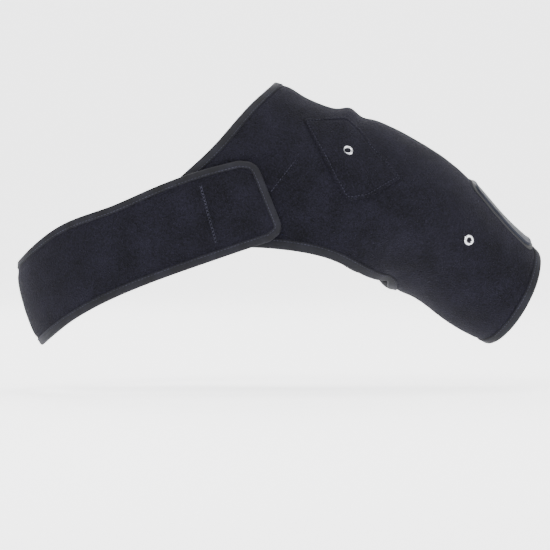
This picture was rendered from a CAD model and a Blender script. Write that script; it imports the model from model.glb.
import math

import bmesh
import bpy
import numpy as np
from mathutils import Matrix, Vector, noise
from mathutils.bvhtree import BVHTree
from mathutils.kdtree import KDTree


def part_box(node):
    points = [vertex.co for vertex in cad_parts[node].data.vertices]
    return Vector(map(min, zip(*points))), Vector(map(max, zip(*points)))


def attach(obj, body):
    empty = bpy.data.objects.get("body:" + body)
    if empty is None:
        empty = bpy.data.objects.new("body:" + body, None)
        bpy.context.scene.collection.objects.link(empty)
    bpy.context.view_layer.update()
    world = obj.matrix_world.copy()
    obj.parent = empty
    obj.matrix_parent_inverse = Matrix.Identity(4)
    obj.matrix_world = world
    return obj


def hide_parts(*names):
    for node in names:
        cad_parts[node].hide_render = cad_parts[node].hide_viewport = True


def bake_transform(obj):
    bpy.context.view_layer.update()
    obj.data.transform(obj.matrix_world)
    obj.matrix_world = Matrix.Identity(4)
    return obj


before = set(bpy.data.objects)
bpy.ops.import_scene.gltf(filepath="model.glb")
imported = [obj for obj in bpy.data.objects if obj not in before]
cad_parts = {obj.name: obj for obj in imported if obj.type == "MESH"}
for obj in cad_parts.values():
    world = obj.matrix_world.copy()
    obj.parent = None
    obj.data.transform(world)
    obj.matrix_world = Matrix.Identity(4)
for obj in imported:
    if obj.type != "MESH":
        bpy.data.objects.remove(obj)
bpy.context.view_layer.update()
mm = 0.001  # the sizes below are in millimetres

# Sections of the shoulder form, from the breastbone to just past the sleeve's hem: top x, top z,
# bottom x, bottom z, half depth, how far back, turn in degrees
hornSections = np.array([
    (-218, 102, -218, -258, 94.0, 0, 0),
    (-196, 102, -196, -258, 96.8, 0, 0),
    (-172, 102, -172, -258, 97.8, 0, 0),
    (-140, 102, -140, -258, 95.8, 0, 0),
    (-108, 102, -108, -258, 89.4, 0, 0),
    (-84, 89.5, -91, -214, 85.4, 0, 0),
    (-60, 79, -75, -170, 82.0, 0, 0),
    (-12, 64.5, -40, -110, 74.0, 2, 3),
    (31.5, 42, -14, -86, 66.0, 8, 8),
    (60, 21, 14, -91, 59.0, 16, 12),
    (98, -20.6, 46, -113, 52.0, 28, 15),
    (130.5, -49.5, 82.8, -135.5, 48.0, 40, 17),
    (136.0, -54.3, 88.9, -139.3, 47.6, 42, 17),
], float)

wrapSize = {
    "wall": 5.0,         # outer fabric, foam and lining together
    "meshStep": 2.6,
    "start": -205,       # inner end of the front and back panels
    "armpitX": -6,
    "columns": 86,
}
neckPoints = np.array([(-212, -4), (-196.6, 11.4), (-157, 49.5), (-130, 81), (-108, 102),
                       (-96, 113)], float)
lowerPoints = np.array([(-212, -40), (-160, -44), (-120, -45), (-85.5, -49), (-49.5, -60), (-27, -72),
                        (-6, -79.5)], float)
chestForm = {"x": -172, "halfWidth": 162.5, "halfDepth": 98.0, "halfHeight": 180.0, "middle": -78,
             "taperFrom": -60, "taper": 0.0039}
strapTopPoints = np.array([(-360, -84), (-340, -62), (-306, -32), (-256.5, -12), (-218, 4), (-173, 20),
                           (-125.5, 32)], float)
strapUnderPoints = np.array([(-350, -163), (-320, -134), (-298, -116), (-256.5, -92), (-218, -76),
                             (-168, -58.5), (-121.5, -43), (-97.5, -35.3)], float)


def cubicThrough(knots, values):
    # natural cubic spline through rows of values
    count = len(knots)
    step = np.diff(knots)
    system = np.eye(count)
    right = np.zeros(values.shape)
    for i in range(1, count - 1):
        system[i, i - 1:i + 2] = step[i - 1], 2 * (step[i - 1] + step[i]), step[i]
        after, before = (values[i + 1] - values[i]) / step[i], (values[i] - values[i - 1]) / step[i - 1]
        right[i] = 6 * (after - before)
    bend = np.linalg.solve(system, right)

    def at(t):
        t = np.atleast_1d(np.asarray(t, float))
        i = np.clip(np.searchsorted(knots, t) - 1, 0, count - 2)
        b = ((t - knots[i]) / step[i])[:, None]
        a = 1 - b
        curve = ((a**3 - a) * bend[i] + (b**3 - b) * bend[i + 1]) * step[i][:, None]**2 / 6
        return a * values[i] + b * values[i + 1] + curve
    return at


topStep = np.linalg.norm(np.diff(hornSections[:, 0:2], axis=0), axis=1)
lowStep = np.linalg.norm(np.diff(hornSections[:, 2:4], axis=0), axis=1)
hornKnots = np.concatenate([[0], np.cumsum((topStep + lowStep) / 2)])
hornAt = cubicThrough(hornKnots, hornSections)
hemKnot = hornKnots[-2]
neckLine = cubicThrough(neckPoints[:, 0], neckPoints[:, 1:])
lowerLine = cubicThrough(lowerPoints[:, 0], lowerPoints[:, 1:])
strapTopLine = cubicThrough(strapTopPoints[:, 0], strapTopPoints[:, 1:])
strapUnderLine = cubicThrough(strapUnderPoints[:, 0], strapUnderPoints[:, 1:])


def unit(v):
    return v / np.maximum(np.linalg.norm(v, axis=-1, keepdims=True), 1e-9)


def hornPoint(u, v, lift=0.0):
    # a point on the shoulder form: u runs out along the arm, v round it from the top, + to the chest
    u, v = np.broadcast_arrays(np.atleast_1d(np.asarray(u, float)),
                               np.atleast_1d(np.asarray(v, float)))
    s = hornAt(u)
    top = np.stack([s[:, 0], s[:, 5], s[:, 1]], 1)
    low = np.stack([s[:, 2], s[:, 5], s[:, 3]], 1)
    up = unit(top - low)
    halfHeight = np.linalg.norm(top - low, axis=1) / 2
    across = np.stack([up[:, 2], np.zeros(len(u)), -up[:, 0]], 1)
    turn = np.radians(s[:, 6])[:, None]
    front = np.array([0, -1, 0]) * np.cos(turn) + across * np.sin(turn)
    return ((top + low) / 2 + up * ((halfHeight + lift) * np.cos(v))[:, None]
            + front * ((s[:, 4] + lift) * np.sin(v))[:, None])


def hornNormal(u, v):
    du = hornPoint(np.asarray(u) + 0.5, v) - hornPoint(np.asarray(u) - 0.5, v)
    dv = hornPoint(u, np.asarray(v) + 0.005) - hornPoint(u, np.asarray(v) - 0.005)
    return unit(np.cross(dv, du))


def chestPoint(theta, z, lift):
    # a point on the chest form: theta 90 degrees is the front, 180 the side under the other arm
    theta, z = np.broadcast_arrays(np.atleast_1d(np.asarray(theta, float)),
                                   np.atleast_1d(np.asarray(z, float)))
    lean = np.maximum(0, chestForm["taperFrom"] - z)
    w = chestForm["halfWidth"] - chestForm["taper"] * lean**2 + lift
    rise = (z - chestForm["middle"]) / chestForm["halfHeight"]
    d = chestForm["halfDepth"] * np.sqrt(1 - rise**2) + lift
    return np.stack([chestForm["x"] + w * np.cos(theta), -d * np.sin(theta), z], 1)


def chestNormal(theta, z):
    dt = chestPoint(np.asarray(theta) + 0.003, z, 0) - chestPoint(np.asarray(theta) - 0.003, z, 0)
    dz = chestPoint(theta, np.asarray(z) + 0.5, 0) - chestPoint(theta, np.asarray(z) - 0.5, 0)
    return unit(np.cross(dz, dt))


# Materials


def hexLinear(text):
    # sRGB hex to the linear colour that shaders take
    channels = [int(text[i:i + 2], 16) / 255 for i in (1, 3, 5)]
    return [c / 12.92 if c <= 0.04045 else ((c + 0.055) / 1.055)**2.4 for c in channels] + [1.0]


def addNode(tree, kind, settings=None, inputs=None, links=None):
    # one node with its properties, input values and incoming links
    node = tree.nodes.new(kind)
    for key, value in (settings or {}).items():
        setattr(node, key, value)
    for key, value in (inputs or {}).items():
        node.inputs[key].default_value = value
    for key, (source, output) in (links or {}).items():
        tree.links.new(source.outputs[output], node.inputs[key])
    return node


def newMaterial(name, inputs):
    material = bpy.data.materials.new(name)
    material.use_nodes = True
    tree = material.node_tree
    shader = tree.nodes["Principled BSDF"]
    for key, value in inputs.items():
        shader.inputs[key].default_value = value
    place = addNode(tree, "ShaderNodeTexCoord")
    return material, tree, shader, place


def patternScale(size):
    # noise scale whose features are about this many millimetres across
    return 1 / (size * mm)


def blendColours(tree, factor, output, darker, lighter, low, high):
    # colour ramp between two hex colours, driven by a pattern
    ramp = addNode(tree, "ShaderNodeValToRGB", links={"Fac": (factor, output)})
    ramp.color_ramp.elements[0].position = low
    ramp.color_ramp.elements[0].color = hexLinear(darker)
    ramp.color_ramp.elements[1].position = high
    ramp.color_ramp.elements[1].color = hexLinear(lighter)
    return ramp


def makeLoopFabric():
    # brushed nylon loop pile laminated on foam: matt near-black navy, speckled with lint-bright loops
    look = {"pile": 1.5, "cloud": 26.0, "dark": "#040407", "light": "#16151f", "sheen": 0.035}
    material, tree, shader, place = newMaterial(
        "brushedLoopFabric", {"Roughness": 0.95, "Specular IOR Level": 0.12, "Sheen Weight": look["sheen"],
                              "Sheen Roughness": 0.5, "Sheen Tint": hexLinear("#a19fbc")})
    pile = addNode(tree, "ShaderNodeTexNoise", inputs={"Scale": patternScale(look["pile"]), "Detail": 3.0,
                   "Roughness": 0.7}, links={"Vector": (place, "Object")})
    loops = addNode(tree, "ShaderNodeTexVoronoi", inputs={"Scale": patternScale(1.3), "Randomness": 1.0},
                    links={"Vector": (place, "Object")})
    cloud = addNode(tree, "ShaderNodeTexNoise", inputs={"Scale": patternScale(look["cloud"]), "Detail": 2.0},
                    links={"Vector": (place, "Object")})
    shade = addNode(tree, "ShaderNodeMath", {"operation": "MULTIPLY_ADD"}, {1: 0.35, 2: 0.0},
                    {0: (cloud, "Fac")})
    mixed = addNode(tree, "ShaderNodeMath", {"operation": "ADD"}, None,
                    {0: (pile, "Fac"), 1: (shade, "Value")})
    colour = blendColours(tree, mixed, "Value", look["dark"], look["light"], 0.52, 0.88)
    height = addNode(tree, "ShaderNodeMath", {"operation": "SUBTRACT"}, None,
                     {0: (pile, "Fac"), 1: (loops, "Distance")})
    bump = addNode(tree, "ShaderNodeBump", inputs={"Strength": 0.75, "Distance": 0.9 * mm},
                   links={"Height": (height, "Value")})
    tree.links.new(colour.outputs["Color"], shader.inputs["Base Color"])
    tree.links.new(bump.outputs["Normal"], shader.inputs["Normal"])
    return material


def makeWovenTape(name, dark, light):
    # polyester binding, folded and pressed: fine ribs across it, smoother and paler than the pile
    material, tree, shader, place = newMaterial(
        name, {"Roughness": 0.75, "Specular IOR Level": 0.2, "Sheen Weight": 0.04,
               "Sheen Roughness": 0.4, "Sheen Tint": hexLinear("#a9a9c0")})
    ribs = addNode(tree, "ShaderNodeTexNoise", inputs={"Scale": patternScale(1.0), "Detail": 2.0},
                   links={"Vector": (place, "Object")})
    wear = addNode(tree, "ShaderNodeTexNoise", inputs={"Scale": patternScale(14.0), "Detail": 3.0},
                   links={"Vector": (place, "Object")})
    mixed = addNode(tree, "ShaderNodeMath", {"operation": "MULTIPLY_ADD"}, {1: 0.5},
                    {0: (ribs, "Fac"), 2: (wear, "Fac")})
    colour = blendColours(tree, mixed, "Value", dark, light, 0.55, 0.95)
    bump = addNode(tree, "ShaderNodeBump", inputs={"Strength": 0.4, "Distance": 0.3 * mm},
                   links={"Height": (ribs, "Fac")})
    tree.links.new(colour.outputs["Color"], shader.inputs["Base Color"])
    tree.links.new(bump.outputs["Normal"], shader.inputs["Normal"])
    return material


def makeKnitLining():
    # warp-knitted polyester against the skin: smooth, dark grey, in 1.6 mm honeycomb cells
    material, tree, shader, place = newMaterial(
        "knittedLining", {"Roughness": 0.8, "Specular IOR Level": 0.2, "Sheen Weight": 0.05,
                          "Sheen Roughness": 0.5})
    cells = addNode(tree, "ShaderNodeTexVoronoi", {"feature": "DISTANCE_TO_EDGE"},
                    {"Scale": patternScale(2.2), "Randomness": 0.7}, {"Vector": (place, "Object")})
    colour = blendColours(tree, cells, "Distance", "#0f1016", "#191a22", 0.0, 0.3)
    bump = addNode(tree, "ShaderNodeBump", inputs={"Strength": 0.5, "Distance": 0.4 * mm},
                   links={"Height": (cells, "Distance")})
    tree.links.new(colour.outputs["Color"], shader.inputs["Base Color"])
    tree.links.new(bump.outputs["Normal"], shader.inputs["Normal"])
    return material


def makeSmooth(name, dark, light, size, inputs, bumpHeight):
    # moulded, plated or welded surfaces: one colour with a slow drift and a faint grain
    material, tree, shader, place = newMaterial(name, inputs)
    drift = addNode(tree, "ShaderNodeTexNoise", inputs={"Scale": patternScale(size), "Detail": 4.0},
                    links={"Vector": (place, "Object")})
    colour = blendColours(tree, drift, "Fac", dark, light, 0.35, 0.7)
    bump = addNode(tree, "ShaderNodeBump", inputs={"Strength": 0.3, "Distance": bumpHeight * mm},
                   links={"Height": (drift, "Fac")})
    tree.links.new(colour.outputs["Color"], shader.inputs["Base Color"])
    tree.links.new(bump.outputs["Normal"], shader.inputs["Normal"])
    return material


loopFabric = makeLoopFabric()
bindingTape = makeWovenTape("foldedBinding", "#050509", "#101018")
sewingThread = makeWovenTape("polyesterThread", "#1b1b25", "#2f2f3c")
knitLining = makeKnitLining()
# nickel-plated brass, barrel polished
nickelPlate = makeSmooth("nickelPlatedBrass", "#b9bac0", "#d7d8dd", 3.0,
                         {"Metallic": 1.0, "Roughness": 0.16}, 0.02)
# studs and the wells of the caps, left dull and dark
darkNickel = makeSmooth("blackenedNickel", "#1d1c1e", "#333136", 2.0,
                        {"Metallic": 0.9, "Roughness": 0.45}, 0.02)
darkBore = makeSmooth("oxidisedBore", "#101012", "#1c1c20", 2.0, {"Metallic": 0.6, "Roughness": 0.6}, 0.02)
# injection-moulded thermoplastic plate, polished tool: soft wide reflections
glossPlate = makeSmooth("polishedPolymerPlate", "#1b1c23", "#282a33", 30.0,
                        {"Roughness": 0.5, "IOR": 1.45, "Specular IOR Level": 0.12}, 0.03)
# die-cut rubber sheet behind the plate
rubberSheet = makeSmooth("dieCutRubber", "#0d0d10", "#17171b", 2.0, {"Roughness": 0.7}, 0.15)
# nylon hook tape: dense short hooks, matt with a hard glint
hookTape = makeSmooth("nylonHookTape", "#09090c", "#26272e", 1.2,
                      {"Roughness": 0.5, "Specular IOR Level": 0.5}, 0.9)
# coextruded nylon film over blue gel: satin, slightly mottled
gelFilm = makeSmooth("weldedGelFilm", "#1c4f86", "#2b6cab", 11.0,
                     {"Roughness": 0.3, "Coat Weight": 0.3, "Coat Roughness": 0.25,
                      "Subsurface Weight": 0.08, "Subsurface Radius": (0.004, 0.006, 0.01)}, 0.4)
# moulded acetal socket
acetal = makeSmooth("mouldedAcetal", "#c9cbd0", "#dadce0", 8.0, {"Roughness": 0.38}, 0.03)
print("materials ready")


# Mesh helpers


def finishMesh(name, points, faces, materials, body=None, faceMaterials=None, weld=0.02):
    mesh = bpy.data.meshes.new(name)
    mesh.from_pydata([tuple(p) for p in np.asarray(points) * mm], [], faces)
    for material in materials:
        mesh.materials.append(material)
    if faceMaterials is not None:
        mesh.polygons.foreach_set("material_index", faceMaterials)
    work = bmesh.new()
    work.from_mesh(mesh)
    bmesh.ops.remove_doubles(work, verts=work.verts, dist=weld * mm)
    bmesh.ops.dissolve_degenerate(work, dist=0.004 * mm, edges=work.edges)
    bmesh.ops.recalc_face_normals(work, faces=work.faces)
    work.to_mesh(mesh)
    work.free()
    mesh.polygons.foreach_set("use_smooth", [True] * len(mesh.polygons))
    piece = bpy.data.objects.new(name, mesh)
    bpy.context.scene.collection.objects.link(piece)
    if body:
        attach(piece, body)
    return piece


def gridFaces(rows, columns, start=0, loopRows=False, loopColumns=False):
    faces = []
    for i in range(rows if loopRows else rows - 1):
        for j in range(columns if loopColumns else columns - 1):
            a, b = i * columns + j, i * columns + (j + 1) % columns
            c, d = ((i + 1) % rows) * columns + (j + 1) % columns, ((i + 1) % rows) * columns + j
            faces.append((start + a, start + b, start + c, start + d))
    return faces


def slab(outer, inner):
    # two grids of points joined round their border; returns points, faces and which faces are inner
    rows, columns = outer.shape[:2]
    count = rows * columns
    points = np.concatenate([outer.reshape(-1, 3), inner.reshape(-1, 3)])
    faces = gridFaces(rows, columns)
    innerFaces = gridFaces(rows, columns, count)
    border = [(0, j) for j in range(columns)] + [(i, columns - 1) for i in range(1, rows)]
    border += [(rows - 1, j) for j in range(columns - 2, -1, -1)]
    border += [(i, 0) for i in range(rows - 2, 0, -1)]
    ring = [i * columns + j for i, j in border]
    side = [(a, b, b + count, a + count) for a, b in zip(ring, ring[1:] + ring[:1])]
    marks = [0] * len(faces) + [1] * len(innerFaces) + [0] * len(side)
    return points, faces + innerFaces + side, marks


def alongPath(path, spacing, closed=False):
    # places along a path at even spacing: index and fraction for each
    loop = np.concatenate([path, path[:1]]) if closed else path
    length = np.concatenate([[0], np.cumsum(np.linalg.norm(np.diff(loop, axis=0), axis=1))])
    count = max(2, int(length[-1] / spacing) + 1)
    wanted = np.linspace(0, length[-1], count + 1)[:-1] if closed else np.linspace(0, length[-1], count)
    return length, wanted, loop


def resample(path, spacing, closed=False, extra=()):
    # even spacing along a path, with other values carried along
    length, wanted, loop = alongPath(path, spacing, closed)
    keep = np.concatenate([[True], np.diff(length) > 1e-9])
    out = []
    for values in (path, *extra):
        full = np.concatenate([values, values[:1]]) if closed else values
        out.append(np.stack([np.interp(wanted, length[keep], full[keep, k]) for k in range(3)], 1))
    return out


tapeSize = {"width": 8.0, "thick": 0.75}


def tapeSection(depth, thick, width):
    # folded U: outer leg, rounded fold and inner leg, round a wall of the given depth
    w, t = width, thick
    outside = [(w, 0.05), (w - 0.5, t), (w * 0.55, t * 1.15), (1.4, t), (0.2, t * 0.55), (-0.7, -0.6)]
    below = [(-0.9, -depth / 2)]
    under = [(-0.7, -depth + 0.6), (0.2, -depth - t * 0.55), (1.4, -depth - t), (w * 0.55, -depth - t * 1.15),
             (w - 0.5, -depth - t), (w, -depth - 0.05)]
    hollow = [(w - 0.6, -depth + 0.35), (0.6, -depth + 0.5), (0.6, -0.5), (w - 0.6, -0.35)]
    return outside + below + under + hollow


# Wrap: the shoulder piece and sleeve


def neckAngle(u):
    # how far round from the top the neck edge lies; 0 where the wrap is whole over the shoulder
    angles = np.linspace(0, math.pi * 0.6, 400)
    p = hornPoint(u, angles)
    over = (p[:, 0] < -96) & (p[:, 2] > neckLine(np.maximum(p[:, 0], -212))[:, 0])
    if not over[0]:
        return 0.0
    first = int(np.argmin(over))
    a, b = angles[first - 1], angles[first]
    for step in range(18):
        m = (a + b) / 2
        q = hornPoint(u, m)[0]
        if q[2] > neckLine(max(q[0], -212))[0, 0]:
            a = m
        else:
            b = m
    return (a + b) / 2


def underArm(q):
    # outside the wrap, below its lower edge
    return q[0] < wrapSize["armpitX"] and q[2] < lowerLine(min(max(q[0], -212), wrapSize["armpitX"]))[0, 0]


def lowerAngle(u, start):
    angles = np.linspace(start, math.pi, 500)
    p = hornPoint(u, angles)
    below = (p[:, 0] < wrapSize["armpitX"]) & (
        p[:, 2] < lowerLine(np.clip(p[:, 0], -212, wrapSize["armpitX"]))[:, 0])
    if not below.any():
        return math.pi
    first = int(np.argmax(below))
    a, b = angles[max(first - 1, 0)], angles[first]
    for step in range(18):
        m = (a + b) / 2
        if underArm(hornPoint(u, m)[0]):
            b = m
        else:
            a = m
    return (a + b) / 2


startKnot = float(np.interp(wrapSize["start"], hornSections[:4, 0], hornKnots[:4]))
denseU = np.linspace(startKnot, hemKnot, 1100)
denseNeck = np.array([neckAngle(u) for u in denseU])
denseLower = np.array([lowerAngle(u, a) for u, a in zip(denseU, denseNeck)])
topPath, neckPath, lowPath = (hornPoint(denseU, a) for a in (np.zeros(len(denseU)), denseNeck, denseLower))
advance = np.max([np.minimum(np.linalg.norm(np.diff(p, axis=0), axis=1), 12) for p in
                  (topPath, neckPath, lowPath)], axis=0)
travel = np.concatenate([[0], np.cumsum(advance)])
rowCount = int(travel[-1] / wrapSize["meshStep"])
rowU = np.interp(np.linspace(0, travel[-1], rowCount), travel, denseU)
rowNeck = np.array([neckAngle(u) for u in rowU])
rowLower = np.array([lowerAngle(u, a) for u, a in zip(rowU, rowNeck)])
print("wrap rows", rowCount)


def wrapColumns(side):
    # grid of angles for one side of the wrap, evenly spaced along each section
    grid = np.zeros((rowCount, wrapSize["columns"]))
    for i, u in enumerate(rowU):
        v = np.linspace(rowNeck[i], rowLower[i], 160)
        run = np.concatenate([[0], np.cumsum(np.linalg.norm(np.diff(hornPoint(u, v), axis=0), axis=1))])
        grid[i] = np.interp(np.linspace(0, run[-1], wrapSize["columns"]), run, v)
    return grid * side


frontAngles = wrapColumns(1)
backAngles = wrapColumns(-1)
gridU = np.repeat(rowU[:, None], wrapSize["columns"], 1)

# where the wrap's free edges run, for the tape, the stitches and the pressed-in borders
neckRows = [i for i in range(rowCount) if rowNeck[i] > 1e-6]
lowerRows = [i for i in range(rowCount) if rowLower[i] < math.pi - 1e-6]
edgeU = np.concatenate([rowU[neckRows], [rowU[neckRows[-1] + 1]], rowU[neckRows][::-1]])
edgeV = np.concatenate([rowNeck[neckRows], [0.0], -rowNeck[neckRows][::-1]])
lowU = np.concatenate([rowU[lowerRows], [rowU[lowerRows[-1] + 1]], rowU[lowerRows][::-1]])
lowV = np.concatenate([rowLower[lowerRows], [math.pi], -rowLower[lowerRows][::-1]])
hemV = np.linspace(-math.pi, math.pi, 150)[:-1]
edgePoints = np.concatenate([hornPoint(edgeU, edgeV), hornPoint(lowU, lowV), hornPoint(hemKnot, hemV)])
edgeTree = KDTree(len(edgePoints))
for i, p in enumerate(edgePoints):
    edgeTree.insert(p, i)
edgeTree.balance()

puff = {"press": 1.3, "drift": 0.8, "ripple": 0.22, "foldHeight": 4.3, "foldX": -42, "foldWidth": 7.5}
patchCorners = np.array([(-83, 67.5), (-45, 70), (-31.5, 58.5), (-18, 41), (4, 15), (-25, -2), (-44, -5),
                         (-57, 16)], float)


def lineDistance(p, a, b):
    # distance in the view from the chest, and how far along the line
    ax, az = a
    bx, bz = b
    lx, lz = bx - ax, bz - az
    t = ((p[0] - ax) * lx + (p[2] - az) * lz) / (lx * lx + lz * lz)
    t = min(1, max(0, t))
    return math.hypot(p[0] - ax - t * lx, p[2] - az - t * lz), t


def wrapHeight(p):
    # how far the padded fabric stands off the form
    away = edgeTree.find(p)[2]
    press = puff["press"] * math.exp(-(max(0, away - 7) / 4.5)**2)
    soft = 0.6 * math.exp(-(away / 22)**2)
    q = Vector(p)
    drift = puff["drift"] * noise.noise(q / 46) + puff["ripple"] * noise.noise(q / 13 + Vector((7, 3, 1)))
    height = drift - press - soft + 0.5
    # fold of fabric gathered over the top of the shoulder, along the patch's upper edge
    if p[2] > 20 and p[0] > -90 and p[0] < 10:
        rise = math.exp(-((p[0] - puff["foldX"] + 0.12 * abs(p[1])) / puff["foldWidth"])**2)
        height += puff["foldHeight"] * rise * math.exp(-(p[1] / 52)**2)
        behind = math.exp(-((p[0] - puff["foldX"] - 15 + 0.12 * abs(p[1])) / 6)**2)
        height -= 1.3 * behind * math.exp(-(p[1] / 48)**2)
    # soft creases running up from the armpit, on the chest side
    if p[1] < 20:
        for end, depth, width in (((-38, -22), 0.9, 5.0), ((-2, -30), 1.1, 5.5), ((24, -62), 0.8, 5.0)):
            gap, t = lineDistance(p, (-6, -76), end)
            height -= depth * math.exp(-(gap / width)**2) * (1 - t)**0.6
    # seam in the panel beside the chest tab
    gap, t = lineDistance(p, (-111, 4), (-90, 31))
    if p[1] < 0:
        height -= 0.9 * math.exp(-(gap / 2.2)**2)
    # pressed flat under the strap
    if p[0] < -92 and abs(p[1]) > 40:
        reachIn = min(1, (-92 - p[0]) / 14)
        over = float(strapTopLine(max(p[0], -212))[0, 0]) + 5 - p[2]
        reachIn *= min(1, max(0, over / 8))
        height = height * (1 - reachIn) + min(height, -0.9) * reachIn
    return height


def wrapGrid(angles, depth):
    base = hornPoint(gridU.ravel(), angles.ravel())
    normal = hornNormal(gridU.ravel(), angles.ravel())
    lift = np.array([wrapHeight(p) for p in base])
    full = np.where(depth > 0, 0, lift)
    return (base + normal * (full - depth)[:, None]).reshape(rowCount, wrapSize["columns"], 3)


wrapParts = []
for angles in (frontAngles, backAngles):
    wrapParts.append((wrapGrid(angles, 0.0), wrapGrid(angles, wrapSize["wall"])))


def joinSides(sides):
    # both sides' grids as one list of points and faces
    points = np.concatenate([side.reshape(-1, 3) for side in sides])
    count = rowCount * wrapSize["columns"]
    faces = gridFaces(rowCount, wrapSize["columns"]) + gridFaces(rowCount, wrapSize["columns"], count)
    return points, faces


def surfaceOf(points, faces, normals):
    # what the cast pieces need of a surface: a tree for rays and smooth normals at its points
    near = KDTree(len(points))
    for i, p in enumerate(points):
        near.insert(p, i)
    near.balance()
    return BVHTree.FromPolygons([tuple(p) for p in points], faces), near, normals


def smoothNormal(surface, place):
    total = Vector((0, 0, 0))
    for co, i, gap in surface[1].find_n(place, 4):
        total += Vector(surface[2][i]) / (gap + 0.3)
    return total.normalized()


def snapTo(surface, place, limit=40):
    hit = surface[0].find_nearest(Vector(place), limit)[0]
    return hit if hit is not None else Vector(place)


formPoints = np.concatenate([hornPoint(gridU.ravel(), a.ravel()) for a in (frontAngles, backAngles)])
formNormals = np.concatenate([hornNormal(gridU.ravel(), a.ravel()) for a in (frontAngles, backAngles)])
outerPoints, sideFaces = joinSides([part[0] for part in wrapParts])
formSurface = surfaceOf(formPoints, sideFaces, formNormals)
wrapSurface = surfaceOf(outerPoints, sideFaces, formNormals)


def wrapBody():
    # outer fabric outside, lining inside, the foam's thickness between them
    mesh = bpy.data.meshes.new("wrapBody")
    mesh.from_pydata([tuple(p) for p in outerPoints * mm], [], sideFaces)
    work = bmesh.new()
    work.from_mesh(mesh)
    bmesh.ops.remove_doubles(work, verts=work.verts, dist=0.05 * mm)
    bmesh.ops.dissolve_degenerate(work, dist=0.01 * mm, edges=work.edges)
    bmesh.ops.recalc_face_normals(work, faces=work.faces)
    top = max(work.faces, key=lambda face: face.calc_center_median().z)
    if top.normal.z < 0:
        bmesh.ops.reverse_faces(work, faces=work.faces)
    work.normal_update()
    outside = list(work.verts)
    inside = {v: work.verts.new(v.co - v.normal * wrapSize["wall"] * mm) for v in outside}
    border = [e for e in work.edges if e.is_boundary]
    for face in list(work.faces):
        copy = work.faces.new([inside[v] for v in reversed(face.verts)])
        copy.material_index = 1
    for e in border:
        a, b = e.verts
        work.faces.new([a, b, inside[b], inside[a]])
    bmesh.ops.recalc_face_normals(work, faces=work.faces)
    work.to_mesh(mesh)
    work.free()
    mesh.polygons.foreach_set("use_smooth", [True] * len(mesh.polygons))
    mesh.materials.append(loopFabric)
    mesh.materials.append(knitLining)
    piece = bpy.data.objects.new("wrapBody", mesh)
    bpy.context.scene.collection.objects.link(piece)
    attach(piece, "wrap")
    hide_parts("outer_shell", "inner_lining", "sleeve_foam", "front_foam", "back_foam")
    return piece


wrapPiece = wrapBody()
print("wrap body", len(wrapPiece.data.polygons))


# Binding tapes


def sweepTape(name, path, normals, sign, section, surface, closed, material):
    # binding along an edge of a surface: each section point is set in from the edge and snapped to it
    tangent = unit(np.roll(path, -1, 0) - np.roll(path, 1, 0))
    if not closed:
        tangent[0], tangent[-1] = unit(path[1] - path[0]), unit(path[-1] - path[-2])
    inward = unit(np.cross(normals, tangent)) * sign
    rows = []
    for i in range(len(path)):
        ring = []
        for step, lift in section:
            base = snapTo(surface, path[i] + inward[i] * max(step, 0))
            ring.append(np.array(base) + inward[i] * min(step, 0) + normals[i] * lift)
        rows.append(ring)
    points = np.array(rows).reshape(-1, 3)
    return finishMesh(name, points, gridFaces(len(path), len(section), loopRows=closed, loopColumns=True),
                      [material])


def fromAngles(u, v, spacing):
    # evenly spaced edge path on the displaced wrap, with its normals, from form places
    path, normals = resample(hornPoint(u, v), spacing, True, (hornNormal(u, v),))
    path = np.array([snapTo(wrapSurface, p) for p in path])
    return path, unit(normals)


endBackV = np.linspace(-rowNeck[0], -rowLower[0], 16)[1:-1]
loopU = np.concatenate([edgeU, np.full(14, rowU[0]), lowU, np.full(14, rowU[0])])
loopV = np.concatenate([edgeV, endBackV, -lowV, -endBackV[::-1]])
edgePath, edgeNormals = fromAngles(loopU, loopV, 3.0)
tapeProfile = tapeSection(wrapSize["wall"], tapeSize["thick"], tapeSize["width"])
inwardSign = 1
probe = np.cross(edgeNormals[20], unit(edgePath[21] - edgePath[19]))
middle = np.array(snapTo(wrapSurface, edgePath[20] + probe * 8))
if np.linalg.norm(middle - (edgePath[20] + probe * 8)) > 3:
    inwardSign = -1
edgeTape = sweepTape("edgeTape", edgePath, edgeNormals, inwardSign, tapeProfile, wrapSurface, True,
                     bindingTape)
hemV = np.linspace(0, 2 * math.pi, 181)[:-1]
hemPath, hemNormals = fromAngles(np.full(180, hemKnot), hemV, 3.0)
hemIn = unit(hornPoint(np.full(2, hemKnot - 4), [0, 1]) - hornPoint(np.full(2, hemKnot), [0, 1]))[0]
hemProbe = np.cross(hemNormals[0], unit(hemPath[1] - hemPath[-1]))
hemSign = 1 if hemProbe @ hemIn > 0 else -1
hemTape = sweepTape("hemTape", hemPath, hemNormals, hemSign, tapeProfile, wrapSurface, True, bindingTape)
for piece, node in ((edgeTape, "edge_binding"), (hemTape, "hem_binding")):
    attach(piece, "wrap")
    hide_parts(node)
print("edge tapes")


# Panels laid on the wrap


def roundCorners(corners, radius, spacing):
    # closed outline with its corners rounded, evenly spaced
    out = []
    count = len(corners)
    for i in range(count):
        before, here, after = corners[i - 1], corners[i], corners[(i + 1) % count]
        a = here + unit(before - here) * min(radius, np.linalg.norm(before - here) * 0.45)
        b = here + unit(after - here) * min(radius, np.linalg.norm(after - here) * 0.45)
        for t in np.linspace(0, 1, 9):
            out.append((1 - t)**2 * a + 2 * t * (1 - t) * here + t * t * b)
    flat = np.array([(x, y, 0) for x, y in out])
    return resample(flat, spacing, True)[0][:, :2]


def rectangle(length, width):
    a, b = length / 2, width / 2
    return np.array([(-a, -b), (a, -b), (a, b), (-a, b)], float)


def castPlane(origin, along, across):
    # the flat frame that an outline is drawn in before it is laid on the surface
    along, across = np.array(along, float), np.array(across, float)
    return np.array(origin, float), along, across, np.cross(along, across)


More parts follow.
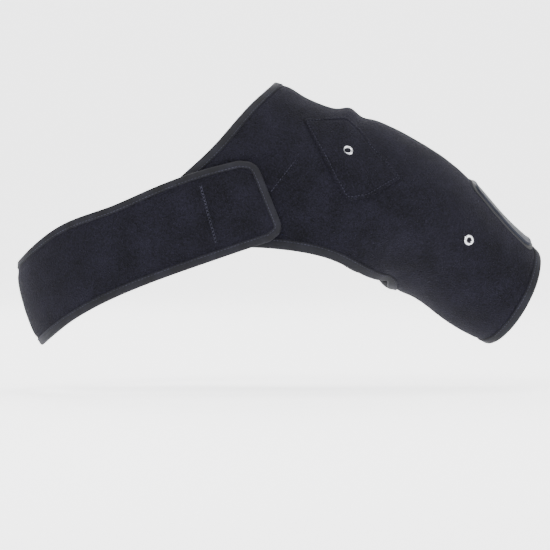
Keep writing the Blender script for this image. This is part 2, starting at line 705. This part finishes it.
def layOn(surface, plane, places):
    origin, along, across, out = plane
    points, normals = [], []
    for x, y in places:
        start = origin + along * x + across * y
        hit = surface[0].ray_cast(Vector(start + out * 160), Vector(-out))[0]
        if hit is None:
            hit = snapTo(surface, start, 200)
        points.append(np.array(hit))
        normals.append(np.array(smoothNormal(surface, hit)))
    return np.array(points), np.array(normals)


def layPanel(name, outline, plane, surface, rings, spread, material, hole=None):
    # sheet on the surface: rings of (inset, top, bottom), then even rings to its middle or its hole
    centre = outline.mean(0) if hole is None else np.zeros(2)
    reachOut = np.linalg.norm(outline - centre, axis=1, keepdims=True)
    aim = (outline - centre) / reachOut
    least = 0.0 if hole is None else hole
    levels = [(np.maximum(reachOut - inset, least), top, bottom) for inset, top, bottom in rings]
    last, top, bottom = levels[-1]
    for t in np.linspace(0, 1, spread + 1)[1:]:
        levels.append((last + (max(least, 0.02) - last) * t, top, bottom))
    count = len(outline)
    upper, lower = [], []
    for reachNow, top, bottom in levels:
        base, normals = layOn(surface, plane, centre + aim * reachNow)
        upper.append(base + normals * top)
        lower.append(base + normals * bottom)
    points = np.concatenate(upper + lower[::-1])
    faces = gridFaces(2 * len(levels), count, loopRows=hole is not None, loopColumns=True)
    size = len(levels) * count
    if hole is None:
        # the outer rim joins the first upper ring to the first lower one
        last = 2 * size - count
        faces += [((j + 1) % count, j, last + j, last + (j + 1) % count) for j in range(count)]
        faces = [f for f in faces if not (min(f) >= size - count and max(f) < size + count)]
    return finishMesh(name, points, faces, [material])


chestPlane = castPlane((0, 0, 0), (1, 0, 0), (0, 0, 1))
backPlane = castPlane((0, 0, 0), (-1, 0, 0), (0, 0, 1))
patchShape = roundCorners(patchCorners, 3, 2.0)
shoulderPatch = layPanel("shoulderPatch", patchShape, chestPlane, wrapSurface,
                         [(0, 0.5, -0.3), (0.5, 1.3, -0.3), (2.4, 1.5, -0.3), (3.2, 0.7, -0.3),
                          (4.4, 1.6, -0.3)],
                         16, loopFabric)
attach(shoulderPatch, "wrap")
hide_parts("shoulder_patch")

badgeSize = {"length": 76, "width": 50, "plate": 2.0, "sheet": 0.8, "margin": 3}
badgeAlong = unit(np.array([70.5, 24, -70.5]))
badgeOut = np.array([1, 0, 1]) / math.sqrt(2)
badgePlane = castPlane((95.25, 28, -14.25), badgeAlong, unit(np.cross(badgeOut, badgeAlong)))
badgeShape = roundCorners(rectangle(badgeSize["length"], badgeSize["width"]), 8, 1.6)
sheetShape = roundCorners(rectangle(badgeSize["length"] + 2 * badgeSize["margin"],
                                   badgeSize["width"] + 2 * badgeSize["margin"]), 9, 1.8)
plateTop = badgeSize["sheet"] + badgeSize["plate"]
badgeBacking = layPanel("badgeBacking", sheetShape, badgePlane, formSurface,
                        [(0, 0.7, 0.0), (0.4, 1.1, 0.0), (2.0, 1.1, 0.0)], 14, rubberSheet)
badgePlate = layPanel("badgePlate", badgeShape, badgePlane, formSurface,
                      [(0, 1.2, 1.0), (0.2, 2.1, 1.0), (0.7, plateTop + 0.1, 1.0),
                       (1.6, plateTop + 0.3, 1.0),
                       (2.4, plateTop + 0.1, 1.0), (3.0, plateTop - 0.2, 1.0)], 14, glossPlate)
for piece, node, name in ((badgeBacking, "badge_backing", "badge_backing"),
                          (badgePlate, "badge_plate", "badge_plastic")):
    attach(piece, "wrap")
    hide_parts(node)

tabSize = {"length": 66, "width": 44, "middle": (66, -48), "turn": math.radians(52), "border": 4}


def tabOutline(border):
    cos, sin = math.cos(tabSize["turn"]), math.sin(tabSize["turn"])
    local = roundCorners(rectangle(tabSize["length"] - 2 * border, tabSize["width"] - 2 * border),
                         max(3, 11 - border), 1.8)
    x = tabSize["middle"][0] + local[:, 0] * cos - local[:, 1] * sin
    z = tabSize["middle"][1] + local[:, 0] * sin + local[:, 1] * cos
    return np.stack([-x, z], 1)


armTab = layPanel("armTab", tabOutline(0), backPlane, wrapSurface,
                  [(0, 2.2, 1.6), (0.5, 3.0, 1.5), (2.5, 3.3, 1.5), (3.3, 2.9, 1.5), (4.4, 3.5, 1.5)], 14,
                  loopFabric)
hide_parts("arm_tab_root", "arm_tab_face")


def flexArm(piece):
    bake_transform(piece)


flexArm(armTab)

packSize = {"film": 7.6, "gap": 6.0, "rim": 7.0, "hole": 5.2}
snaps = {
    "shoulder": {"at": (-43.7, -58.7714, 38.7), "out": (0.125224, -0.848439, 0.514266),
                 "size": (112, 92)},
    "arm": {"at": (64.8, -33.8207, -40.0), "out": (0.473281, -0.880717, -0.018482),
            "size": (84, 70)},
}
for name, fastener in snaps.items():
    out = unit(np.array(fastener["out"]))
    along = unit(np.array([1, 0, 0]) - out * out[0])
    plane = castPlane(fastener["at"], along, np.cross(out, along))
    shape = roundCorners(rectangle(*fastener["size"]), 14, 2.4)
    g, r = -packSize["gap"], packSize["rim"]
    pack = layPanel(name + "Pack", shape, plane, formSurface,
                    [(0, g - 0.1, g - 1.1), (r * 0.5, g, g - 1.2), (r, g, g - 1.4), (r + 2.5, g, g - 3.6),
                     (r + 6, g, g - 6.0), (r + 11, g, g - packSize["film"])], 12, gelFilm, packSize["hole"])
    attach(pack, name + "_pack")
    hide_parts(name + "_pack_film", name + "_pack_gel")
print("panels and packs")


# Chest strap and its tab

strapSize = {
    "bottom": 2.2,       # heights off the chest form
    "top": 6.0,
    "tabTop": math.radians(74),
    "tabUnder": math.radians(63.8),
    "corner": 14.0,
    "width": 78,
    "rows": 21,          # points across the strap, and along half of it
    "columns": 84,
    "step": 3.0,
    "tape": 6.5,
}


def strapPlace(theta, across):
    # place on the chest form at an angle, across the strap from its lower edge, 0, to its upper edge, 1
    z = np.full(np.shape(theta), -50.0)
    for attempt in range(14):
        x = chestPoint(theta, z, 4.0)[:, 0]
        at = np.clip(x, -350, -97)
        z = strapUnderLine(at)[:, 0] * (1 - across) + strapTopLine(at)[:, 0] * across
    return z


def strapGrid():
    # angles and heights over the strap: along it from the chest end round to the back end
    sections = []
    for q in np.linspace(0, 1, strapSize["rows"]):
        start = strapSize["tabUnder"] * (1 - q) + strapSize["tabTop"] * q
        theta = np.linspace(start, math.pi, 500)
        z = strapPlace(theta, np.full(500, q))
        run = chestPoint(theta, z, 0)
        run = np.concatenate([[0], np.cumsum(np.linalg.norm(np.diff(run, axis=0), axis=1))])
        edge = min(q, 1 - q) * strapSize["width"]
        inset = 0.0
        if edge < strapSize["corner"]:
            r = strapSize["corner"]
            inset = r - math.sqrt(r * r - (r - edge)**2)
        wanted = np.linspace(inset, run[-1], strapSize["columns"])
        sections.append((np.interp(wanted, run, theta), np.interp(wanted, run, z)))
    theta = np.array([s[0] for s in sections]).T
    z = np.array([s[1] for s in sections]).T
    back = 2 * math.pi - theta[:-1][::-1]
    return np.concatenate([theta, back]), np.concatenate([z, z[:-1][::-1]])


strapTheta, strapZ = strapGrid()
strapRows, strapColumns = strapTheta.shape
strapBase = chestPoint(strapTheta.ravel(), strapZ.ravel(), 0).reshape(strapRows, strapColumns, 3)
strapOut = chestNormal(strapTheta.ravel(), strapZ.ravel()).reshape(strapRows, strapColumns, 3)
if strapOut[20, 10] @ np.array([0, -1, 0]) < 0:
    strapOut = -strapOut
seamLine = np.array([(-173, 7), (-160, -40.5)], float)


def strapHeight(i, j):
    # padding swells between the tapes and is drawn down along the cross-stitched seam
    p = strapBase[i, j]
    edge = min(j, strapColumns - 1 - j) / (strapColumns - 1) * strapSize["width"]
    ends = min(i, strapRows - 1 - i) * strapSize["step"]
    edge = min(edge, ends)
    height = strapSize["top"] - 1.2 * math.exp(-(max(0, edge - 6.5) / 4)**2)
    height += 0.5 * noise.noise(Vector(p) / 38) + 0.2 * noise.noise(Vector(p) / 12)
    if p[1] < 0:
        gap, t = lineDistance(p, seamLine[0], seamLine[1])
        height -= 0.9 * math.exp(-(gap / 2.6)**2)
    return height


strapLift = np.array([[strapHeight(i, j) for j in range(strapColumns)] for i in range(strapRows)])
strapUpper = strapBase + strapOut * strapLift[..., None]
strapLower = strapBase + strapOut * strapSize["bottom"]


def flexChest(piece):
    # the bend runs from the hinge line a little way into the tab; the back of the strap stays put
    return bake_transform(piece)


points, faces, marks = slab(strapUpper, strapLower)
chestStrap = finishMesh("chestStrap", points, faces, [loopFabric, knitLining], None, marks)
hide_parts("strap_lining", "strap_foam", "strap_face", "tab_lining", "tab_foam", "tab_face")
flexChest(chestStrap)

strapSurface = surfaceOf(strapUpper.reshape(-1, 3), gridFaces(strapRows, strapColumns),
                         strapOut.reshape(-1, 3))
ring = [(0, j) for j in range(strapColumns)] + [(i, strapColumns - 1) for i in range(1, strapRows)]
ring += [(strapRows - 1, j) for j in range(strapColumns - 2, -1, -1)]
ring += [(i, 0) for i in range(strapRows - 2, 0, -1)]
ringPoints = np.array([strapUpper[i, j] for i, j in ring])
ringNormals = np.array([strapOut[i, j] for i, j in ring])
strapPath, strapNormals = resample(ringPoints, 3.0, True, (ringNormals,))
strapNormals = unit(strapNormals)
probe = np.cross(strapNormals[60], unit(strapPath[61] - strapPath[59]))
hit = snapTo(strapSurface, strapPath[60] + probe * 8)
strapSign = 1 if (Vector(strapPath[60] + probe * 8) - hit).length < 3 else -1
strapTape = sweepTape("strapTape", strapPath, strapNormals, strapSign,
                      tapeSection(strapSize["top"] - strapSize["bottom"] - 1.2, 0.6, strapSize["tape"]),
                      strapSurface, True, bindingTape)
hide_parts("strap_binding", "tab_binding")
flexChest(strapTape)
print("strap", len(chestStrap.data.polygons))


# Snap fasteners


def lathe(name, origin, out, profile, material, body, count=48):
    # revolved about the fastener's axis: profile rows are radius and height
    along = unit(np.cross(out, [0, 0, 1]))
    across = np.cross(out, along)
    rows = []
    for radius, height in profile:
        turn = np.linspace(0, 2 * math.pi, count + 1)[:-1]
        circle = np.cos(turn)[:, None] * along + np.sin(turn)[:, None] * across
        rows.append(origin + circle * radius + out * height)
    return finishMesh(name, np.array(rows).reshape(-1, 3), gridFaces(len(rows), count, loopRows=True,
                      loopColumns=True), [material], body)


# radius and height up the wall of the well, over the rolled rim and down its outside
capProfile = [(2.5, 0.0), (2.45, 0.8), (2.6, 1.35), (3.0, 1.7), (3.6, 1.8), (4.2, 1.6), (4.7, 1.15),
              (4.98, 0.5), (5.0, 0.0)]
boreProfile = [(0.02, 0.15), (1.2, 0.2), (2.2, 0.35), (2.52, 0.7), (2.52, -0.4), (0.02, -0.4)]
for name, fastener in snaps.items():
    low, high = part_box(name + "_snap_cap")
    middle = (np.array(low) + np.array(high)) / 2 / mm
    out = unit(np.array(fastener["out"]))
    foot = middle - out * 0.9
    cap = lathe(name + "SnapCap", foot, out, capProfile, nickelPlate, "wrap")
    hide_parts(name + "_snap_cap")
    bore = lathe(name + "SnapBore", foot, out, boreProfile, darkBore, "wrap")

# moulded, die-cut and plated nodes that show as they were built
plainNodes = {"tab_hook": hookTape, "arm_tab_hook": hookTape, "strap_anchor": hookTape,
              "shoulder_snap_stud": darkNickel, "arm_snap_stud": darkNickel,
              "shoulder_pack_socket": acetal, "arm_pack_socket": acetal}
for node, material in plainNodes.items():
    part = bpy.data.objects[node]
    part.data.materials.clear()
    part.data.materials.append(material)
print("snaps")


# Stitches


def stitchTree():
    # one stitch on every point of the incoming mesh, turned along its seam
    tree = bpy.data.node_groups.new("stitchRow", "GeometryNodeTree")
    tree.interface.new_socket("Geometry", in_out="INPUT", socket_type="NodeSocketGeometry")
    for name, value in (("Length", 2.2 * mm), ("Width", 0.55 * mm), ("Seed", 4)):
        kind = "NodeSocketInt" if name == "Seed" else "NodeSocketFloat"
        tree.interface.new_socket(name, in_out="INPUT", socket_type=kind).default_value = value
    tree.interface.new_socket("Geometry", in_out="OUTPUT", socket_type="NodeSocketGeometry")
    entry = addNode(tree, "NodeGroupInput")
    leave = addNode(tree, "NodeGroupOutput")
    spots = addNode(tree, "GeometryNodeMeshToPoints", links={"Mesh": (entry, "Geometry")})
    vector = {"data_type": "FLOAT_VECTOR"}
    along = addNode(tree, "GeometryNodeInputNamedAttribute", vector, {"Name": "along"})
    up = addNode(tree, "GeometryNodeInputNamedAttribute", vector, {"Name": "up"})
    turn = addNode(tree, "FunctionNodeAxesToRotation", {"primary_axis": "Z", "secondary_axis": "X"}, None,
                   {0: (up, "Attribute"), 1: (along, "Attribute")})
    bead = addNode(tree, "GeometryNodeMeshIcoSphere", None, {"Radius": 0.5, "Subdivisions": 2})
    jitter = addNode(tree, "FunctionNodeRandomValue", {"data_type": "FLOAT"}, {2: 0.88, 3: 1.08},
                     {"Seed": (entry, "Seed")})
    size = addNode(tree, "ShaderNodeCombineXYZ", None, None,
                   {"X": (entry, "Length"), "Y": (entry, "Width"), "Z": (entry, "Width")})
    scaled = addNode(tree, "ShaderNodeVectorMath", {"operation": "SCALE"}, None,
                     {"Vector": (size, "Vector"), "Scale": (jitter, 1)})
    stamp = addNode(tree, "GeometryNodeInstanceOnPoints", None, None,
                    {"Points": (spots, "Points"), "Instance": (bead, "Mesh"), "Rotation": (turn, "Rotation"),
                     "Scale": (scaled, "Vector")})
    real = addNode(tree, "GeometryNodeRealizeInstances", None, None, {"Geometry": (stamp, "Instances")})
    paint = addNode(tree, "GeometryNodeSetMaterial", None, {"Material": sewingThread},
                    {"Geometry": (real, "Geometry")})
    tree.links.new(paint.outputs["Geometry"], leave.inputs[0])
    return tree


stitches = stitchTree()
threadSize = {"length": 2.3, "width": 0.6, "pitch": 3.1}


def stitchRow(name, path, normals, closed, length=None, cross=False):
    # stitches along a path; a crossed row lays an X at every step
    path, normals = resample(path, threadSize["pitch"], closed, (normals,))
    normals = unit(normals)
    tangent = unit(np.roll(path, -1, 0) - np.roll(path, 1, 0))
    if not closed:
        tangent[0], tangent[-1] = tangent[1], tangent[-2]
    places, aims, ups = list(path + normals * 0.15), list(tangent), list(normals)
    if cross:
        across = unit(np.cross(normals, tangent))
        places = places + list(path + normals * 0.3)
        aims = list(unit(tangent + across)) + list(unit(tangent - across))
        ups = ups * 2
    mesh = bpy.data.meshes.new(name)
    mesh.from_pydata([tuple(p) for p in np.array(places) * mm], [], [])
    for key, values in (("along", aims), ("up", ups)):
        attribute = mesh.attributes.new(key, "FLOAT_VECTOR", "POINT")
        attribute.data.foreach_set("vector", np.array(values).ravel())
    seam = bpy.data.objects.new(name, mesh)
    bpy.context.scene.collection.objects.link(seam)
    maker = seam.modifiers.new("stitches", "NODES")
    maker.node_group = stitches
    wanted = {"Length": (length or threadSize["length"]) * mm, "Width": threadSize["width"] * mm,
              "Seed": 4}
    for item in stitches.interface.items_tree:
        if item.item_type == "SOCKET" and item.in_out == "INPUT" and item.name in wanted:
            maker[item.identifier] = wanted[item.name]
    bpy.context.view_layer.update()
    done = bpy.data.meshes.new_from_object(seam.evaluated_get(bpy.context.evaluated_depsgraph_get()))
    seam.modifiers.remove(maker)
    seam.data = done
    if not done.materials:
        done.materials.append(sewingThread)
    done.polygons.foreach_set("use_smooth", [True] * len(done.polygons))
    return seam


def setIn(path, normals, sign, inset, lift, surface, closed):
    # a path moved in from an edge over its surface
    tangent = unit(np.roll(path, -1, 0) - np.roll(path, 1, 0))
    if not closed:
        tangent[0], tangent[-1] = unit(path[1] - path[0]), unit(path[-1] - path[-2])
    inward = unit(np.cross(normals, tangent)) * sign
    return np.array([snapTo(surface, p) for p in path + inward * inset]) + normals * lift


rows = {
    "edgeStitch": (setIn(edgePath, edgeNormals, inwardSign, 6.4, 0.85, wrapSurface, True), edgeNormals),
    "hemStitch": (setIn(hemPath, hemNormals, hemSign, 6.4, 0.85, wrapSurface, True), hemNormals),
}
patchPlaces, patchNormals = layOn(wrapSurface, chestPlane, patchShape)
patchMiddle = patchPlaces.mean(0)
patchIn = patchPlaces + unit(patchMiddle - patchPlaces) * 3.2
patchLine = np.array([snapTo(wrapSurface, p) for p in patchIn])
rows["patchStitch"] = (patchLine + patchNormals * 1.05, patchNormals)
for name, (path, normals) in rows.items():
    seam = stitchRow(name, path, normals, True)
    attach(seam, "wrap")
panelSeam = np.linspace((-111, 4), (-90, 31), 12)
seamPlaces, seamNormals = layOn(wrapSurface, chestPlane, panelSeam)
seam = stitchRow("panelStitch", seamPlaces + seamNormals * 0.1, seamNormals, False)
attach(seam, "wrap")
strapEdge = setIn(strapPath, strapNormals, strapSign, strapSize["tape"] - 1.4, 0.7, strapSurface, True)
seam = stitchRow("strapStitch", strapEdge, strapNormals, True)
flexChest(seam)
hingePlaces, hingeNormals = layOn(strapSurface, chestPlane, np.linspace(seamLine[0], seamLine[1], 14))
seam = stitchRow("hingeStitch", hingePlaces + hingeNormals * 0.1, hingeNormals, False, 4.0, True)
flexChest(seam)
tabLine = tabOutline(3.4)
tabPlaces, tabNormals = layOn(wrapSurface, backPlane, tabLine)
seam = stitchRow("armTabStitch", tabPlaces + tabNormals * 3.1, tabNormals, True)
flexArm(seam)
print("stitches")


# Stage, light and camera

stageSize = {"floor": -0.176, "half": 6.0, "wall": 3.0, "bend": 1.2, "height": 5.0}  # in metres


def seamless():
    # pale floor rolling up into a backdrop
    profile = [(-stageSize["half"], 0.0), (stageSize["wall"], 0.0)]
    for t in np.linspace(0, math.pi / 2, 14)[1:]:
        profile.append((stageSize["wall"] + stageSize["bend"] * math.sin(t),
                        stageSize["bend"] * (1 - math.cos(t))))
    profile.append((stageSize["wall"] + stageSize["bend"], stageSize["height"]))
    points = [(x, y, stageSize["floor"] + z) for x in (-stageSize["half"], stageSize["half"])
              for y, z in profile]
    count = len(profile)
    mesh = bpy.data.meshes.new("seamlessPaper")
    mesh.from_pydata(points, [], [(i, count + i, count + i + 1, i + 1) for i in range(count - 1)])
    mesh.polygons.foreach_set("use_smooth", [True] * len(mesh.polygons))
    material, tree, shader, place = newMaterial("palePaper", {
        "Roughness": 0.9, "Base Color": hexLinear("#f6f6f7"), "Emission Color": (1, 1, 1, 1),
        "Emission Strength": 1.7})
    mesh.materials.append(material)
    paper = bpy.data.objects.new("seamlessPaper", mesh)
    bpy.context.scene.collection.objects.link(paper)
    return paper


def softLight(name, place, target, size, power):
    data = bpy.data.lights.new(name, "AREA")
    data.shape = "DISK"
    data.size = size
    data.energy = power
    lamp = bpy.data.objects.new(name, data)
    bpy.context.scene.collection.objects.link(lamp)
    lamp.location = place
    lamp.rotation_euler = (Vector(target) - Vector(place)).to_track_quat("-Z", "Y").to_euler()
    return lamp


subject = (-0.108, 0.0, -0.03)
lamps = [softLight("keyLight", (-1.1, -1.7, 1.7), subject, 1.3, 60),
         softLight("fillLight", (1.7, -1.4, 0.5), subject, 1.5, 26),
         softLight("topLight", (0.1, 0.3, 2.1), subject, 1.4, 36),
         softLight("backLight", (-0.6, 2.2, 1.3), subject, 1.4, 22)]
seamless()
world = bpy.data.worlds.new("studio")
world.use_nodes = True
world.node_tree.nodes["Background"].inputs["Color"].default_value = (1, 1, 1, 1)
world.node_tree.nodes["Background"].inputs["Strength"].default_value = 1.25
bpy.context.scene.world = world

shot = {"aim": (-0.108, 0.0, -0.072), "distance": 4.0, "elevation": math.radians(1.3), "width": 0.495}
camera = bpy.data.objects.new("camera", bpy.data.cameras.new("camera"))
bpy.context.scene.collection.objects.link(camera)
camera.data.lens = camera.data.sensor_width * shot["distance"] / shot["width"]
back = Vector((0, -math.cos(shot["elevation"]), math.sin(shot["elevation"])))
camera.location = Vector(shot["aim"]) + back * shot["distance"]
camera.rotation_euler = (Vector(shot["aim"]) - camera.location).to_track_quat("-Z", "Y").to_euler()
camera.data.clip_end = 60
bpy.context.scene.camera = camera
